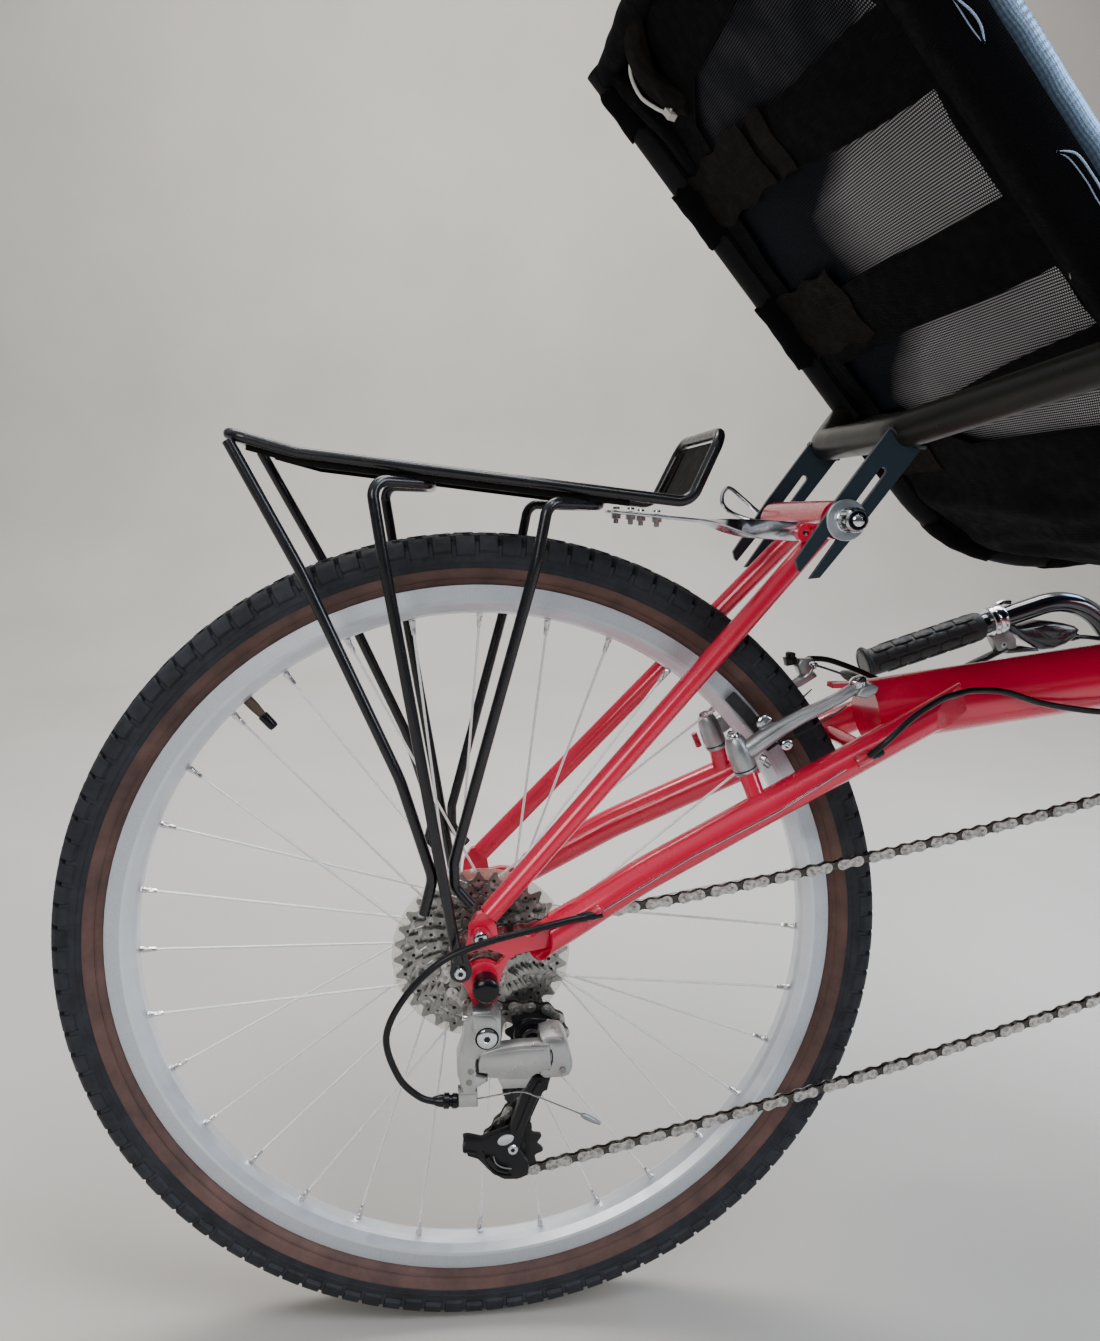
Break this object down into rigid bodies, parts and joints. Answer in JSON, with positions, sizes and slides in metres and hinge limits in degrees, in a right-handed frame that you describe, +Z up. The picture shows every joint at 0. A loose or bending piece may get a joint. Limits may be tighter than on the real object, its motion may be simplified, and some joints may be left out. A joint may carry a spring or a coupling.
{
  "type": "recumbent bicycle",
  "caption": "Short recumbent bicycle with a red tube frame, a reclined mesh seat, a rear rack, chain drive with derailleur and under-seat steering.",
  "frame": {"origin": "top of the seat where the rider sits, on the centre plane", "axes": "+X forward, +Y to the rider's left, +Z up"},
  "size_m": [1.7967, 0.5178, 1.0767],
  "materials": {
    "red_paint": "gloss",
    "seat_tube_paint": "satin",
    "hoop_paint": "satin",
    "plate_paint": "satin",
    "rack_paint": "gloss",
    "bar_paint": "gloss",
    "black_alloy": "satin",
    "black_steel": "satin",
    "chrome_hardware": "polished",
    "polished_strip": "polished",
    "sling_mesh": "woven",
    "brake_alloy": "satin",
    "brake_rubber": "matt",
    "silver_alloy": "satin",
    "black_plastic": "matt",
    "chain_steel": "oily",
    "dark_steel": "satin",
    "cable_black": "gloss",
    "spoke_steel": "polished",
    "tyre": "matt",
    "rim_alloy": "satin",
    "clear_disc": "clear, aged",
    "cassette_steel": "satin",
    "grip_rubber": "matt",
    "lever_alloy": "satin",
    "crank_alloy": "satin"
  },
  "bodies": {
    "frame": {"main_tube": "red_paint", "chain_stays": "red_paint", "brake_posts": "red_paint", "stay_bridge": "red_paint", "seat_stays": "red_paint", "dropouts": "red_paint", "seat_cross_tube": "red_paint", "head_tube": "red_paint", "headset_cups": "black_alloy", "boom": "red_paint", "bottom_bracket_shell": "red_paint", "boom_clamp": "black_alloy", "bar_pivot_housing": "red_paint", "seat_side_tubes": "seat_tube_paint", "seat_cross_bars": "seat_tube_paint", "seat_hoop": "hoop_paint", "seat_plates": "plate_paint", "seat_skewer": "chrome_hardware", "seat_clamp": "plate_paint", "seat_sling": "sling_mesh", "rack_rails": "rack_paint", "rack_plates": "rack_paint", "rack_legs": "rack_paint", "rack_struts": "polished_strip", "rear_brake_arms": "brake_alloy", "rear_brake_pads": "brake_rubber", "rear_derailleur": "silver_alloy", "derailleur_cage": "black_steel", "jockey_wheels": "black_plastic", "chain_upper": "chain_steel", "chain_lower": "chain_steel", "chain_ring_wrap": "chain_steel", "chain_cog_loop": "chain_steel", "rear_axle": "dark_steel", "cables": "cable_black"},
    "rear_wheel": {"rear_spokes": "spoke_steel", "rear_tyre": "tyre", "rear_rim": "rim_alloy", "rear_hub": "silver_alloy", "spoke_protector": "clear_disc"},
    "cassette": {"cassette": "cassette_steel"},
    "fork": {"fork_steerer": "red_paint", "fork_legs": "red_paint", "fork_arm": "black_alloy", "front_axle": "dark_steel", "front_brake": "brake_alloy"},
    "front_wheel": {"front_tyre": "tyre", "front_rim": "rim_alloy", "front_hub": "silver_alloy", "front_spokes": "spoke_steel"},
    "handlebar": {"handlebar": "bar_paint", "bar_stem": "black_alloy", "grips": "grip_rubber", "brake_levers": "lever_alloy"},
    "tie_rod": {"tie_rod": "polished_strip"},
    "crank": {"crankset": "crank_alloy", "crank_arm_left": "crank_alloy"},
    "pedal_right": {"pedal_right": "black_plastic"},
    "pedal_left": {"pedal_left": "black_plastic"}
  },
  "joints": [
    {"name": "rear_wheel_spin", "type": "hinge", "parent": "frame", "child": "rear_wheel", "pos_m": [-0.52, 0, -0.3265], "axis": [0, 1, 0], "continuous": true},
    {"name": "crank_spin", "type": "hinge", "parent": "frame", "child": "crank", "pos_m": [0.73, 0, 0.01068], "axis": [0, 1, 0], "continuous": true},
    {"name": "cassette_spin", "type": "hinge", "parent": "frame", "child": "cassette", "pos_m": [-0.52, 0, -0.3265], "axis": [0, 1, 0], "continuous": true},
    {"name": "fork_steer", "type": "hinge", "parent": "frame", "child": "fork", "pos_m": [0.35769, 0, -0.18279], "axis": [-0.342, 0, 0.9397], "range_deg": [-25, 25]},
    {"name": "front_wheel_spin", "type": "hinge", "parent": "fork", "child": "front_wheel", "pos_m": [0.496, 0, -0.4517], "axis": [0, 1, 0], "continuous": true},
    {"name": "bar_steer", "type": "hinge", "parent": "frame", "child": "handlebar", "pos_m": [0.1471, 0, -0.1311], "axis": [-0.342, 0, 0.9397], "range_deg": [-25, 25]},
    {"name": "tie_rod_pivot", "type": "hinge", "parent": "handlebar", "child": "tie_rod", "pos_m": [0.17583, 0.045, -0.21004], "axis": [-0.342, 0, 0.9397], "range_deg": [-25, 25]},
    {"name": "pedal_right_spin", "type": "hinge", "parent": "crank", "child": "pedal_right", "pos_m": [0.9, -0.118, 0.01068], "axis": [0, 1, 0], "continuous": true},
    {"name": "pedal_left_spin", "type": "hinge", "parent": "crank", "child": "pedal_left", "pos_m": [0.56, 0.118, 0.01068], "axis": [0, 1, 0], "continuous": true}
  ],
  "couplings": [
    {"joint": "cassette_spin", "follows": "crank_spin", "ratio": 2.2857},
    {"joint": "bar_steer", "follows": "fork_steer", "ratio": 1},
    {"joint": "tie_rod_pivot", "follows": "fork_steer", "ratio": -1}
  ]
}
